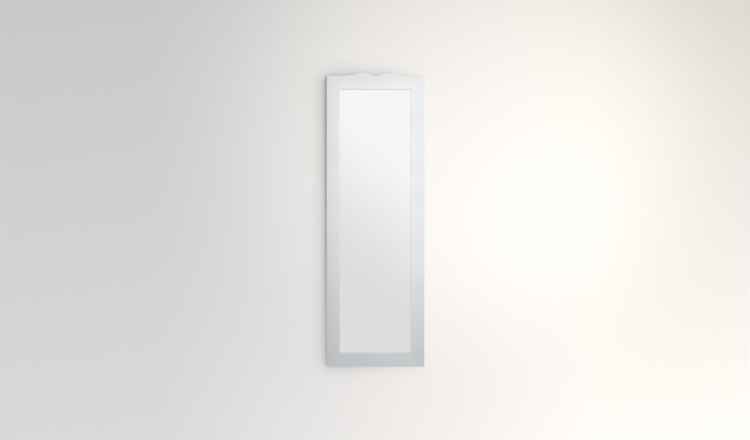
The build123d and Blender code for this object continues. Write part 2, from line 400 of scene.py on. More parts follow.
softSheets = {
    "clearSafetyFilm": {
        "light": (0.7, 0.72, 0.74),
        "shade": (0.64, 0.66, 0.68),
        "grainSize": 3 * mm,
        "rough": 0.3,
    },
    "whiteFoam": {
        "light": (0.88, 0.88, 0.87),
        "shade": (0.83, 0.83, 0.82),
        "grainSize": 0.9 * mm,
        "rough": 0.85,
    },
}


def makeSoftSheet(name, light, shade, grainSize, rough):
    material, tree, shader, place = newMaterial(name, Specular_IOR_Level=0.3)
    grain = grainAt(tree, place, grainSize, 40 * mm)
    tone = mixColour(tree, grain["Patches"], light, shade)
    varied = ramp(tree, grain["Height"], 0.3, 0.7, rough - 0.1, rough + 0.1)
    dressShader(tree, shader, tone, varied, grain["Height"], 0.15 * grainSize)
    return material


steels = {
    "zincPlate": {
        "colour": (0.6, 0.61, 0.62),
        "shade": (0.5, 0.51, 0.52),
        "rough": 0.34,
        "grainSize": 0.6 * mm,
        "grainDepth": 0.01 * mm,
    },
    "zincWire": {
        "colour": (0.56, 0.57, 0.58),
        "shade": (0.47, 0.48, 0.49),
        "rough": 0.26,
        "grainSize": 0.5 * mm,
        "grainDepth": 0.006 * mm,
        "stretch": (1, 1, 0.2),
    },
    "screwSteel": {
        "colour": (0.54, 0.545, 0.55),
        "shade": (0.45, 0.455, 0.46),
        "rough": 0.28,
        "grainSize": 0.4 * mm,
        "grainDepth": 0.006 * mm,
    },
    "brightStrip": {
        "colour": (0.5, 0.5, 0.5),
        "shade": (0.41, 0.41, 0.4),
        "rough": 0.32,
        "grainSize": 0.5 * mm,
        "grainDepth": 0.008 * mm,
        "stretch": (1, 0.2, 1),
    },
}
dullSteel = (0.42, 0.42, 0.41)


def makePlatedSteel(name, colour, shade, rough, grainSize, grainDepth, stretch=(1, 1, 1)):
    # zinc plate or bright steel: patches of tone, fine scratches or spangle, dull marks
    material, tree, shader, place = newMaterial(name, Metallic=1.0)
    grain = grainAt(tree, place, grainSize, 5 * mm, stretch)
    marks = marksAt(tree, place, 4 * mm, 0.8)
    tone = mixColour(tree, grain["Patches"], colour, shade)
    tone = mixColour(tree, times(tree, marks, 0.5), tone, dullSteel)
    varied = ramp(tree, grain["Height"], 0.3, 0.7, rough - 0.06, rough + 0.08)
    varied = calc(tree, "ADD", varied, times(tree, marks, 0.2))
    dressShader(tree, shader, tone, varied, grain["Height"], grainDepth)
    return material


rubber = {
    "light": (0.66, 0.665, 0.66),
    "dark": (0.6, 0.605, 0.6),
    "dusty": (0.5, 0.49, 0.46),
    "roughness": (0.48, 0.7),
}


def makeRubber():
    material, tree, shader, place = newMaterial(
        "softGreyRubber", Specular_IOR_Level=0.4, Subsurface_Weight=0.1
    )
    shader.inputs["Subsurface Scale"].default_value = 1 * mm
    grain = grainAt(tree, place, 0.5 * mm, 6 * mm)
    dust = marksAt(tree, place, 5 * mm, 0.8)
    tone = mixColour(tree, grain["Patches"], rubber["light"], rubber["dark"])
    tone = mixColour(tree, times(tree, dust, 0.5), tone, rubber["dusty"])
    dressShader(tree, shader, tone, ramp(tree, dust, 0, 1, *rubber["roughness"]), grain["Height"], 0.03 * mm)
    return material


lacquerFinish = makeLacquer()
backFinish = makeBackCoat()
boardFinish = makeFibreboard()
silverFinish = makeSilver()
edgeFinish = makeGlassEdge()
silverBackFinish = makeSilverBack()
filmFinish, foamFinish = (makeSoftSheet(name, **tones) for name, tones in softSheets.items())
plateFinish, wireFinish, screwFinish, nailFinish = (
    makePlatedSteel(name, **tones) for name, tones in steels.items()
)
rubberFinish = makeRubber()
say("finishes")


# Frame members

def arcRun(centre, radius, start, end, side=1, steps=None):
    # points of an arc with their outward normals; side is -1 where the wood lies outside the arc
    count = steps or max(4, round(abs(end - start) / frameSizes["arcStep"]))
    angles = [start + (end - start) * k / count for k in range(count + 1)]
    rays = [Vector((cos(a), sin(a))) for a in angles]
    return [(centre + ray * radius, ray * side) for ray in rays]


def cornerRun(sideX, z, start, end):
    radius = frameSizes["cornerRadius"]
    inwards = -1 if z > 0 else 1
    centre = Vector((sideX * (halfWidth - radius), z + inwards * radius))
    return arcRun(centre, radius, start, end, steps=6)


def humpedEdge():
    # right half of the top edge, from the dip in the middle to the shoulder
    rise, out, foot, dip = (frameSizes[k] for k in ("humpRise", "humpOut", "footOut", "valleyRadius"))
    innerTurn = 2 * atan2(rise, out)
    outerTurn = 2 * atan2(rise, foot - out)
    humpRadius = out / sin(innerTurn) - dip
    footRadius = (foot - out) / sin(outerTurn) - humpRadius
    valley = arcRun(Vector((0, shoulderZ + dip)), dip, -pi / 2, innerTurn - pi / 2, -1)
    top = Vector((out, shoulderZ + rise - humpRadius))
    hump = arcRun(top, humpRadius, pi / 2 + innerTurn, pi / 2 - outerTurn)
    run = arcRun(Vector((foot, shoulderZ + footRadius)), footRadius, -pi / 2 - outerTurn, -pi / 2, -1)
    return valley + hump[1:] + run[1:]


def mirrored(run):
    return [(Vector((-p.x, p.y)), Vector((-n.x, n.y))) for p, n in reversed(run)]


def addStrip(bm, rowA, rowB):
    for k in range(len(rowA) - 1):
        bm.faces.new((rowA[k], rowA[k + 1], rowB[k + 1], rowB[k]))


def addMember(node, outline, sightStart, sightEnd):
    # outline runs clockwise from mitre to mitre; the sight edge runs beside it
    s = frameSizes
    along = (sightEnd - sightStart).normalized() * s["grooveWidth"]
    middle = Vector((0, (sightTop + sightBottom) / 2))
    corners = [
        (sightStart, sightStart),
        (sightStart + along, sightStart),
        (sightEnd - along, sightEnd),
        (sightEnd, sightEnd),
    ]
    outwards = [Vector((1 if c.x > 0 else -1, 1 if c.y > middle.y else -1)) for _, c in corners]
    bm = bmesh.new()

    def outerRow(inset, depth):
        return [bm.verts.new((p.x - n.x * inset, faceY + depth, p.y - n.y * inset)) for p, n in outline]

    def sightRow(into, depth):
        places = [p + o * into for (p, _), o in zip(corners, outwards)]
        return [bm.verts.new((p.x, faceY + depth, p.y)) for p in places]

    outer = [outerRow(*step) for step in quarterRound(s["frontRound"], s["roundSteps"])]
    outer += [outerRow(0, memberDepth - s["backBreak"]), outerRow(s["backBreak"], memberDepth)]
    sight = [sightRow(*step) for step in quarterRound(s["sightRound"], s["roundSteps"])]
    sight += [
        sightRow(0, lipDepth), sightRow(s["rebateWidth"], lipDepth), sightRow(s["rebateWidth"], memberDepth)
    ]
    for rows in (outer, sight):
        for rowA, rowB in zip(rows, rows[1:]):
            addStrip(bm, rowA, rowB)
    for rowA, rowB, sink in ((outer[0], sight[0], 1), (outer[-1], sight[-1], -1)):
        bm.faces.new(rowA[1:-1] + rowB[2:0:-1])
        bm.faces.new((rowA[0], rowA[1], rowB[1], rowB[0]))
        bm.faces.new((rowA[-2], rowA[-1], rowB[-1], rowB[-2]))
        for vert in (rowA[0], rowA[-1], rowB[0], rowB[-1]):
            vert.co.y += sink * s["grooveDepth"]
    for end in (0, -1):
        bm.faces.new([row[end] for row in outer] + [row[end] for row in reversed(sight)])
    # the thin coat covers the back and the rebate, and the lacquer the rest
    reach = 1.01 * s["rebateWidth"]
    for face in bm.faces:
        middleY = face.calc_center_median().y
        atBack = middleY > backY - s["backBreak"]
        places = [v.co for v in face.verts]
        inRebate = middleY > glassLow.y - 0.01 * mm and all(
            abs(p.x) < sightHalf + reach and sightBottom - reach < p.z < sightTop + reach for p in places
        )
        face.material_index = 1 if atBack or inRebate else 0
    mesh = meshFrom(bm, node, [lacquerFinish, backFinish])
    mesh = applyModifiers(mesh, weightNormals)
    return addPiece(node + "_finished", mesh, [node])


sightCorner = {
    "topLeft": Vector((-sightHalf, sightTop)),
    "topRight": Vector((sightHalf, sightTop)),
    "bottomRight": Vector((sightHalf, sightBottom)),
    "bottomLeft": Vector((-sightHalf, sightBottom)),
}
rightHalf = humpedEdge() + cornerRun(1, shoulderZ, pi / 2, pi / 4)
topOutline = mirrored(rightHalf)[:-1] + rightHalf
rightOutline = cornerRun(1, shoulderZ, pi / 4, 0) + cornerRun(1, bottomZ, 0, -pi / 4)
bottomOutline = cornerRun(1, bottomZ, -pi / 4, -pi / 2) + cornerRun(-1, bottomZ, -pi / 2, -3 * pi / 4)
leftOutline = mirrored(rightOutline)
addMember("top_rail", topOutline, sightCorner["topLeft"], sightCorner["topRight"])
addMember("right_stile", rightOutline, sightCorner["topRight"], sightCorner["bottomRight"])
addMember("bottom_rail", bottomOutline, sightCorner["bottomRight"], sightCorner["bottomLeft"])
addMember("left_stile", leftOutline, sightCorner["bottomLeft"], sightCorner["topLeft"])
say("frame members")


# Glass and board, slabs with eased edges

def slabMesh(name, low, high, ease, steps, materials, indexOf):
    bm = bmesh.new()
    bmesh.ops.create_cube(bm, size=1.0)
    for vert in bm.verts:
        vert.co = Vector([low[k] if vert.co[k] < 0 else high[k] for k in range(3)])
    bmesh.ops.bevel(bm, geom=bm.edges[:], offset=ease, segments=steps, profile=0.5, affect="EDGES")
    bmesh.ops.recalc_face_normals(bm, faces=bm.faces)
    for face in bm.faces:
        face.material_index = indexOf(face.normal)
    return applyModifiers(meshFrom(bm, name, materials, 50), weightNormals)


def glassIndex(normal):
    if normal.y < -0.99:
        return 0
    return 2 if normal.y > 0.99 else 1


glassMesh = slabMesh(
    "mirror_glass", glassLow, glassHigh, 0.5 * mm, 1, [silverFinish, edgeFinish, silverBackFinish], glassIndex
)
addPiece("mirror_glass_finished", glassMesh, ["mirror_glass"])
boardLow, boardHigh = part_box("backing_board")
boardMesh = slabMesh("backing_board", boardLow, boardHigh, 0.3 * mm, 2, [boardFinish], lambda normal: 0)
addPiece("backing_board_finished", boardMesh, ["backing_board"])
for node, finish in (("safety_film", filmFinish), ("foam_sheet", foamFinish)):
    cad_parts[node].data.materials.clear()
    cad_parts[node].data.materials.append(finish)
say("glass and board")


# Geometry Nodes trees for what repeats or follows a path

def geoNode(tree, kind, inputs, **settings):
    return addNode(tree, "GeometryNode" + kind, inputs, **settings).outputs[0]


def placeParts(tree):
    # X, Y and Z of each point's own place
    return addNode(tree, "ShaderNodeSeparateXYZ", {0: geoNode(tree, "InputPosition", {})}).outputs


def turnOf(tree):
    # the turn that each base point carries
    return geoNode(tree, "InputNamedAttribute", {"Name": "turn"}, data_type="FLOAT")


def geometryTree(name, inputs):
    tree = bpy.data.node_groups.new(name, "GeometryNodeTree")
    tree.interface.new_socket("Geometry", in_out="INPUT", socket_type="NodeSocketGeometry")
    tree.interface.new_socket("Geometry", in_out="OUTPUT", socket_type="NodeSocketGeometry")
    for label, value in inputs.items():
        kind = "Int" if isinstance(value, int) else "Float"
        if isinstance(value, bpy.types.Material):
            kind = "Material"
        socket = tree.interface.new_socket(label, in_out="INPUT", socket_type="NodeSocket" + kind)
        socket.default_value = value
    return tree, tree.nodes.new("NodeGroupInput").outputs, tree.nodes.new("NodeGroupOutput").inputs


def runTree(tree, baseMesh, values):
    # the tree's result on a mesh of points, as a plain mesh of one finish
    def addTree(worker):
        modifier = worker.modifiers.new(tree.name, "NODES")
        modifier.node_group = tree
        for socket in tree.interface.items_tree:
            if socket.item_type == "SOCKET" and socket.in_out == "INPUT" and socket.name in values:
                modifier[socket.identifier] = values[socket.name]
    result = applyModifiers(baseMesh, addTree)
    result.materials.clear()
    result.materials.append(values["Material"])
    result.polygons.foreach_set("material_index", [0] * len(result.polygons))
    return result


def pointMesh(name, places, turns=None):
    mesh = bpy.data.meshes.new(name)
    mesh.from_pydata([tuple(p) for p in places], [], [])
    if turns:
        mesh.attributes.new("turn", "FLOAT", "POINT").data.foreach_set("value", turns)
    return mesh


def vectorOf(tree, x=0.0, y=0.0, z=0.0):
    return addNode(tree, "ShaderNodeCombineXYZ", {0: x, 1: y, 2: z}).outputs[0]


def placeOnPoints(tree, points, instance, tilt, spin):
    # instances lie with their own Z tilted about X, and are turned about their own axis first
    placed = addNode(
        tree, "GeometryNodeInstanceOnPoints",
        {"Points": points, "Instance": instance, "Rotation": (tilt, 0, 0)},
    )
    spun = vectorOf(tree, z=spin)
    turned = addNode(
        tree, "GeometryNodeRotateInstances",
        {"Instances": placed.outputs[0], "Rotation": spun, "Local Space": True},
    )
    return turned.outputs[0]


def joined(tree, *parts):
    node = tree.nodes.new("GeometryNodeJoinGeometry")
    for part in parts:
        tree.links.new(part, node.inputs[0])
    return node.outputs[0]


def moved(tree, geometry, offset, rotation=(0, 0, 0)):
    return geoNode(tree, "Transform", {"Geometry": geometry, "Translation": offset, "Rotation": rotation})


def thickened(tree, sheet, thickness):
    # an open sheet becomes a closed plate
    raised = geoNode(tree, "ExtrudeMesh", {"Mesh": sheet, "Offset Scale": thickness, "Individual": False})
    under = geoNode(tree, "FlipFaces", {0: sheet})
    return geoNode(tree, "MergeByDistance", {"Geometry": joined(tree, raised, under), "Distance": 1e-6})


def finishTree(tree, geometry, material, result, smooth=True):
    real = geoNode(tree, "RealizeInstances", {"Geometry": geometry})
    shaded = geoNode(tree, "SetShadeSmooth", {"Geometry": real, "Shade Smooth": smooth})
    coated = geoNode(tree, "SetMaterial", {"Geometry": shaded, "Material": material})
    tree.links.new(coated, result["Geometry"])


screwSizes = {
    "Head Diameter": 6.4 * mm,
    "Head Height": 1.9 * mm,
    "Head Fullness": 0.62,  # nearer 0 is boxier, 1 is a half ball
    "Recess Length": 3.6 * mm,
    "Recess Width": 0.8 * mm,
    "Recess Depth": 1.0 * mm,
    "Core Diameter": 2.3 * mm,
    "Length": 13 * mm,
    "Tip Length": 3 * mm,
    "Thread Pitch": 1.3 * mm,
    "Thread Height": 0.45 * mm,
    "Sides": 32,
    "Seed": 7,
}


def makeScrewTree():
    tree, given, result = geometryTree("panHeadScrew", {**screwSizes, "Material": screwFinish})
    columns = calc(tree, "ADD", given["Sides"], 1.0)
    grid = geoNode(tree, "MeshGrid", {"Size X": 1.0, "Size Y": 1.0, "Vertices X": columns, "Vertices Y": 12})
    across = placeParts(tree)
    around = times(tree, calc(tree, "ADD", across["X"], 0.5), 2 * pi)
    up = times(tree, calc(tree, "ADD", across["Y"], 0.5), pi / 2)
    headRadius = times(tree, given["Head Diameter"], 0.5)
    nearAxis = calc(tree, "MAXIMUM", calc(tree, "COSINE", up), 0.0)
    radius = times(tree, headRadius, calc(tree, "POWER", nearAxis, given["Head Fullness"]))
    rounding = calc(tree, "POWER", calc(tree, "SINE", up), given["Head Fullness"])
    height = times(tree, given["Head Height"], rounding)
    domeX = times(tree, radius, calc(tree, "COSINE", around))
    domeY = times(tree, radius, calc(tree, "SINE", around))
    onDome = vectorOf(tree, domeX, domeY, height)
    dome = geoNode(tree, "SetPosition", {"Geometry": grid, "Position": onDome})
    disc = geoNode(tree, "MeshCircle", {"Vertices": given["Sides"], "Radius": headRadius}, fill_type="NGON")
    under = geoNode(tree, "FlipFaces", {0: disc})
    head = geoNode(tree, "MergeByDistance", {"Geometry": joined(tree, dome, under), "Distance": 1e-5})
    bar = vectorOf(
        tree, given["Recess Length"], given["Recess Width"], times(tree, given["Recess Depth"], 2.0)
    )
    slotBox = geoNode(tree, "MeshCube", {"Size": bar})
    atTop = vectorOf(tree, z=given["Head Height"])
    cut = addNode(
        tree, "GeometryNodeMeshBoolean", {"Mesh 1": head, "Self Intersection": True}, solver="EXACT",
        operation="DIFFERENCE",
    )
    tree.links.new(moved(tree, slotBox, atTop), cut.inputs["Mesh 2"])
    tree.links.new(moved(tree, slotBox, atTop, (0, 0, pi / 2)), cut.inputs["Mesh 2"])
    coreRadius = times(tree, given["Core Diameter"], 0.5)
    coreLength = calc(tree, "SUBTRACT", given["Length"], given["Tip Length"])
    core = geoNode(
        tree, "MeshCylinder", {"Vertices": given["Sides"], "Radius": coreRadius, "Depth": coreLength}
    )
    core = moved(tree, core, vectorOf(tree, z=times(tree, coreLength, -0.5)))
    tip = geoNode(
        tree, "MeshCone",
        {
            "Vertices": given["Sides"], "Radius Top": coreRadius, "Radius Bottom": 0.2 * mm,
            "Depth": given["Tip Length"],
        },
    )
    tip = moved(tree, tip, vectorOf(tree, z=times(tree, given["Length"], -1.0)))
    threadLength = times(tree, coreLength, 0.85)
    turns = calc(tree, "DIVIDE", threadLength, given["Thread Pitch"])
    helix = geoNode(
        tree, "CurveSpiral",
        {
            "Resolution": 20, "Rotations": turns, "Start Radius": coreRadius, "End Radius": coreRadius,
            "Height": threadLength,
        },
    )
    ridge = geoNode(tree, "CurvePrimitiveCircle", {"Resolution": 3, "Radius": given["Thread Height"]})
    thread = geoNode(tree, "CurveToMesh", {"Curve": helix, "Profile Curve": ridge, "Fill Caps": True})
    thread = moved(tree, thread, vectorOf(tree, z=times(tree, coreLength, -1.0)))
    screw = joined(tree, cut.outputs["Mesh"], core, tip, thread)
    spin = addNode(
        tree, "FunctionNodeRandomValue", {2: 0.0, 3: pi, 8: given["Seed"]}, data_type="FLOAT"
    ).outputs[1]
    placed = placeOnPoints(tree, given["Geometry"], screw, -pi / 2, spin)
    finishTree(tree, placed, given["Material"], result, smooth=False)
    return tree


pointSizes = {
    "Length": 15 * mm,
    "Grip": 8 * mm,
    "Width": 6 * mm,
    "Tip Length": 3 * mm,
    "Thickness": 0.5 * mm,
    "Lift": 0.35 * mm,  # how far the free end is bent off the board
}


def makePointTree():
    tree, given, result = geometryTree("glazingPoint", {**pointSizes, "Material": nailFinish})
    grid = geoNode(
        tree, "MeshGrid",
        {"Size X": given["Length"], "Size Y": given["Width"], "Vertices X": 16, "Vertices Y": 5},
    )
    toGrip = calc(tree, "SUBTRACT", given["Grip"], times(tree, given["Length"], 0.5))
    blank = moved(tree, grid, vectorOf(tree, x=toGrip))
    across = placeParts(tree)
    fromTip = calc(tree, "DIVIDE", calc(tree, "SUBTRACT", given["Grip"], across["X"]), given["Tip Length"])
    narrow = calc(tree, "MINIMUM", calc(tree, "MAXIMUM", fromTip, 0.06), 1.0)
    free = calc(tree, "MAXIMUM", times(tree, across["X"], -1.0), 0.0)
    freeShare = calc(tree, "DIVIDE", free, calc(tree, "SUBTRACT", given["Length"], given["Grip"]))
    lift = times(tree, calc(tree, "POWER", freeShare, 2.0), times(tree, given["Lift"], -1.0))
    shape = vectorOf(tree, across["X"], times(tree, across["Y"], narrow), lift)
    formed = geoNode(tree, "SetPosition", {"Geometry": blank, "Position": shape})
    plate = thickened(tree, formed, given["Thickness"])
    placed = placeOnPoints(tree, given["Geometry"], plate, pi / 2, turnOf(tree))
    finishTree(tree, placed, given["Material"], result, smooth=False)
    return tree


nailSizes = {
    "Leg": 6 * mm,
    "Half Angle": radians(52),
    "Height": 10 * mm,
    "Thickness": 0.6 * mm,
    "Fold Radius": 0.5 * mm,
}


def makeNailTree():
    tree, given, result = geometryTree("mitreNail", {**nailSizes, "Material": nailFinish})
    grid = geoNode(tree, "MeshGrid", {"Size X": 2.0, "Size Y": 1.0, "Vertices X": 25, "Vertices Y": 3})
    across = placeParts(tree)
    run = times(tree, across["X"], given["Leg"])
    fold = given["Fold Radius"]
    bent = calc(tree, "SQRT", calc(tree, "ADD", times(tree, run, run), times(tree, fold, fold)))
    out = times(tree, calc(tree, "SUBTRACT", bent, fold), calc(tree, "COSINE", given["Half Angle"]))
    aside = times(tree, run, calc(tree, "SINE", given["Half Angle"]))
    down = times(tree, calc(tree, "ADD", across["Y"], 0.5), given["Height"])
    formed = geoNode(tree, "SetPosition", {"Geometry": grid, "Position": vectorOf(tree, out, aside, down)})
    plate = thickened(tree, formed, given["Thickness"])
    placed = placeOnPoints(tree, given["Geometry"], plate, pi / 2, turnOf(tree))
    finishTree(tree, placed, given["Material"], result, smooth=False)
    return tree


ringSizes = {
    "Width": 20 * mm,  # between the centres of the wire's two sides
    "Height": 15 * mm,
    "Corner Radius": 2.5 * mm,
    "Wire Radius": 1.2 * mm,
    "Lean": 0.0,
    "Path Points": 128,
    "Wire Sides": 18,
}


def makeRingTree():
    # a D of wire drawn flat, moved until its bar is on the hinge's axis and stood up
    tree, given, result = geometryTree("hangerRing", {**ringSizes, "Material": wireFinish})
    outline = geoNode(
        tree, "CurvePrimitiveQuadrilateral", {"Width": given["Width"], "Height": given["Height"]}
    )
    across = placeParts(tree)
    atBow = calc(tree, "GREATER_THAN", across["Y"], 0.0)
    bowRadius = times(tree, given["Width"], 0.4999)
    radius = ramp(tree, atBow, 0.0, 1.0, given["Corner Radius"], bowRadius)
    rounded = geoNode(tree, "FilletCurve", {"Curve": outline, "Radius": radius, "Count": 40}, mode="POLY")
    even = geoNode(tree, "ResampleCurve", {"Curve": rounded, "Count": given["Path Points"]}, mode="COUNT")
    wire = geoNode(
        tree, "CurvePrimitiveCircle", {"Resolution": given["Wire Sides"], "Radius": given["Wire Radius"]}
    )
    bent = geoNode(tree, "CurveToMesh", {"Curve": even, "Profile Curve": wire})
    onBar = moved(tree, bent, vectorOf(tree, y=times(tree, given["Height"], 0.5)))
    raised = moved(tree, onBar, (0, 0, 0), vectorOf(tree, x=calc(tree, "ADD", given["Lean"], pi / 2)))
    placed = geoNode(tree, "InstanceOnPoints", {"Points": given["Geometry"], "Instance": raised})
    finishTree(tree, placed, given["Material"], result)
    return tree


def addRepeated(node, tree, places, turns, material):
    mesh = runTree(tree, pointMesh(node, places, turns), {"Material": material})
    mesh.name = node
    mesh.shade_smooth()
    mesh.set_sharp_from_angle(angle=radians(35))
    return addPiece(node + "_finished", mesh, [node])


nailPlacing = {
    "insets": (16 * mm, 33 * mm),  # from the outer edges to each nail's fold
    "proud": 0.1 * mm,  # of the frame's back
}


def cornerPlaces(inset):
    # on each corner's diagonal, with the turn that faces the corner
    spots = []
    for sideX, z, turn in ((1, shoulderZ, 45), (-1, shoulderZ, 135), (-1, bottomZ, 225), (1, bottomZ, 315)):
        inwards = -1 if z > 0 else 1
        place = Vector((sideX * (halfWidth - inset), backY + nailPlacing["proud"], z + inwards * inset))
        spots.append((place, radians(turn)))
    return spots


nailSpots = [spot for inset in nailPlacing["insets"] for spot in cornerPlaces(inset)]
places, turns = zip(*nailSpots)
addRepeated("mitre_nails", makeNailTree(), places, turns, nailFinish)

pointPlacing = {"perSide": 5, "fromEnds": 90 * mm, "endSpread": 65 * mm}
pointY = boardHigh.y + pointSizes["Thickness"]
rebateHalf = sightHalf + frameSizes["rebateWidth"]
rebateTop = sightTop + frameSizes["rebateWidth"]
rebateBottom = sightBottom - frameSizes["rebateWidth"]
pointSpots = []
for k in range(pointPlacing["perSide"]):
    share = k / (pointPlacing["perSide"] - 1)
    z = rebateBottom + pointPlacing["fromEnds"] + share * (
        rebateTop - rebateBottom - 2 * pointPlacing["fromEnds"]
    )
    pointSpots += [(Vector((rebateHalf, pointY, z)), 0.0), (Vector((-rebateHalf, pointY, z)), pi)]
for x in (-pointPlacing["endSpread"], pointPlacing["endSpread"]):
    pointSpots += [(Vector((x, pointY, rebateTop)), pi / 2), (Vector((x, pointY, rebateBottom)), -pi / 2)]
places, turns = zip(*pointSpots)
addRepeated("glazing_points", makePointTree(), places, turns, nailFinish)
say("nails and glazing points")


# Ring hangers

hangerSizes = {
    "x": 177.5 * mm,
    "axisY": -2.65 * mm,
    "axisZ": -13.775 * mm,
    "width": 14 * mm,
    "thickness": 1 * mm,
    "curlRadius": 1.85 * mm,  # at the middle of the strap's thickness
    "curlOpening": radians(60),
    "curlSteps": 40,
    "endZ": -47.775 * mm,
    "endRound": 6.3 * mm,
    "screwZ": (-23.775 * mm, -39.775 * mm),
    "holeRadius": 1.9 * mm,
    "edgeBreak": 0.14 * mm,
}


def strapMesh(name, centreX):
    # the flat strap with its rounded end and holes, and the strip that curls round the bar
    s = hangerSizes
    half = s["width"] / 2
    flatY = s["axisY"] - s["curlRadius"]
    bm = bmesh.new()

    def addLoop(places):
        verts = [bm.verts.new((centreX + x, flatY, z)) for x, z in places]
        return [bm.edges.new((verts[k - 1], verts[k])) for k in range(len(verts))]

    endRound = s["endRound"]
    corner = [radians(270 + 90 * k / 12) for k in range(13)]
    right = [(half - endRound + endRound * cos(a), s["endZ"] + endRound + endRound * sin(a)) for a in corner]
    left = [(-x, z) for x, z in reversed(right)]
    edges = addLoop([(half, s["axisZ"]), (-half, s["axisZ"])] + left + right)
    for z in s["screwZ"]:
        ring = [2 * pi * k / 28 for k in range(28)]
        edges += addLoop([(s["holeRadius"] * cos(a), z + s["holeRadius"] * sin(a)) for a in ring])
    bmesh.ops.triangle_fill(bm, use_beauty=True, edges=edges)
    rows = []
    for k in range(s["curlSteps"] + 1):
        a = pi - (2 * pi - s["curlOpening"]) * k / s["curlSteps"]
        y = s["axisY"] + s["curlRadius"] * cos(a)
        z = s["axisZ"] + s["curlRadius"] * sin(a)
        rows.append([bm.verts.new((centreX + x, y, z)) for x in (-half, half)])
    for rowA, rowB in zip(rows, rows[1:]):
        addStrip(bm, rowA, rowB)
    bmesh.ops.remove_doubles(bm, verts=bm.verts, dist=1e-6)
    mesh = meshFrom(bm, name, [plateFinish], 40)

    def addThickness(worker):
        plate = worker.modifiers.new("plate", "SOLIDIFY")
        plate.thickness = s["thickness"]
        plate.offset = 0
        plate.use_even_offset = True
        edge = worker.modifiers.new("stamped edge", "BEVEL")
        edge.width = s["edgeBreak"]
        edge.segments = 2
        edge.limit_method = "ANGLE"
        edge.angle_limit = radians(50)
        weightNormals(worker)

    return applyModifiers(mesh, addThickness)


screwTree = makeScrewTree()
ringTree = makeRingTree()
ringLow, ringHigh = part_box("hanger_ring_left")
ringLean = asin((hangerSizes["axisY"] - ringLow.y - ringSizes["Wire Radius"]) / ringSizes["Height"])
for sideName, sideX in (("left", -1), ("right", 1)):
    centreX = sideX * hangerSizes["x"]
    strap = f"hanger_strap_{sideName}"
    addPiece(strap + "_finished", strapMesh(strap, centreX), [strap])
    ring = f"hanger_ring_{sideName}"
    bar = Vector((centreX, hangerSizes["axisY"], hangerSizes["axisZ"]))
    ringMesh = runTree(ringTree, pointMesh(ring, [bar]), {"Lean": ringLean, "Material": wireFinish})
    ringMesh.name = ring
    addPiece(ring + "_finished", ringMesh, [ring], f"ring_{sideName}")
headY = backY + hangerSizes["thickness"]
screwSeats = [Vector((side * hangerSizes["x"], headY, z)) for side in (-1, 1) for z in hangerSizes["screwZ"]]
addRepeated("hanger_screws", screwTree, screwSeats, None, screwFinish)
say("hangers")


# Bumpers, turned about their own axis

bumperSizes = {
    "radius": 6 * mm,
    "faceRadius": 5.55 * mm,
    "edgeRound": 0.9 * mm,
    "dish": 0.25 * mm,
    "footHeight": 0.35 * mm,  # of the flared foot that is stuck to the frame
    "footStep": 0.1 * mm,
    "sides": 48,
}


def bumperMesh(name, low, high):
    s = bumperSizes
    centre = (low + high) / 2
    depth = high.y - low.y
    profile = [(0.0, -s["dish"]), (0.55 * s["faceRadius"], -0.7 * s["dish"])]
    for k in range(7):
        a = pi / 2 * k / 6
        profile.append((s["faceRadius"] - s["edgeRound"] * (1 - sin(a)), -s["edgeRound"] * (1 - cos(a))))
    profile += [(s["radius"], s["footHeight"] - depth), (s["radius"] - s["footStep"], -depth), (0.0, -depth)]
    bm = bmesh.new()
    rows = []
    for radius, y in profile:
        count = s["sides"] if radius else 1
        angles = [2 * pi * k / s["sides"] for k in range(count)]
        ring = [(centre.x + radius * cos(a), high.y + y, centre.z + radius * sin(a)) for a in angles]
        rows.append([bm.verts.new(place) for place in ring])
    for rowA, rowB in zip(rows, rows[1:]):
        for k in range(s["sides"]):
            after = (k + 1) % s["sides"]
            if len(rowA) == 1:
                bm.faces.new((rowA[0], rowB[k], rowB[after]))
            elif len(rowB) == 1:
                bm.faces.new((rowA[k], rowB[0], rowA[after]))
            else:
                bm.faces.new((rowA[k], rowA[after], rowB[after], rowB[k]))
    return meshFrom(bm, name, [rubberFinish], 50)


for node in ("bumper_top_left", "bumper_top_right", "bumper_bottom_left", "bumper_bottom_right"):
    addPiece(node + "_finished", bumperMesh(node, *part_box(node)), [node])
say("bumpers")


# The stage: wall, floor, light and camera

roomSizes = {
    "wallHalf": 2.6,
    "wallY": 0.5 * mm,  # just behind the bumpers
    "wallTop": 1.5,
    "floorZ": -1.69,
    "floorReach": 4.0,
}


def addPlane(name, corners, material):
    mesh = bpy.data.meshes.new(name)
    mesh.from_pydata(corners, [], [(0, 1, 2, 3)])
    mesh.materials.append(material)
    plane = bpy.data.objects.new(name, mesh)
    scene.collection.objects.link(plane)
    return plane


def lightPath(tree):
    # 1 where the camera looks, and 1 where the camera, a mirror or glass looks
    path = tree.nodes.new("ShaderNodeLightPath").outputs
    seen = calc(tree, "MAXIMUM", path["Is Camera Ray"], path["Is Glossy Ray"])
    return path["Is Camera Ray"], calc(tree, "MAXIMUM", seen, path["Is Transmission Ray"])


cameraSettings = {"aside": -1.6 * mm, "distance": 3.0, "height": -0.389, "lens": 35.3}
wallTone = {
    "paint": (0.46, 0.459, 0.455),
    "glow": (0.471, 0.445, 0.42),  # in the middle, where the mirror hangs
    "paintedLightAcross": (0.128, 0.105, 0.075),  # painted light: the glow's change for each metre to the right
    "paintedLightUp": (-0.114, -0.112, -0.116),
    "paintedLightCorner": (-0.058, -0.059, -0.055),
    "paintedLightCurve": (0.002, 0.013, 0.011),
    "glowReach": 0.9,
    "shadeReach": 80 * mm,
    "shadeLeft": 2.4,  # painted shadow: how strongly the frame darkens the glow to its left, away from the light
    "shadeRight": 0.2,
    "shadeBelow": 0.4,
}


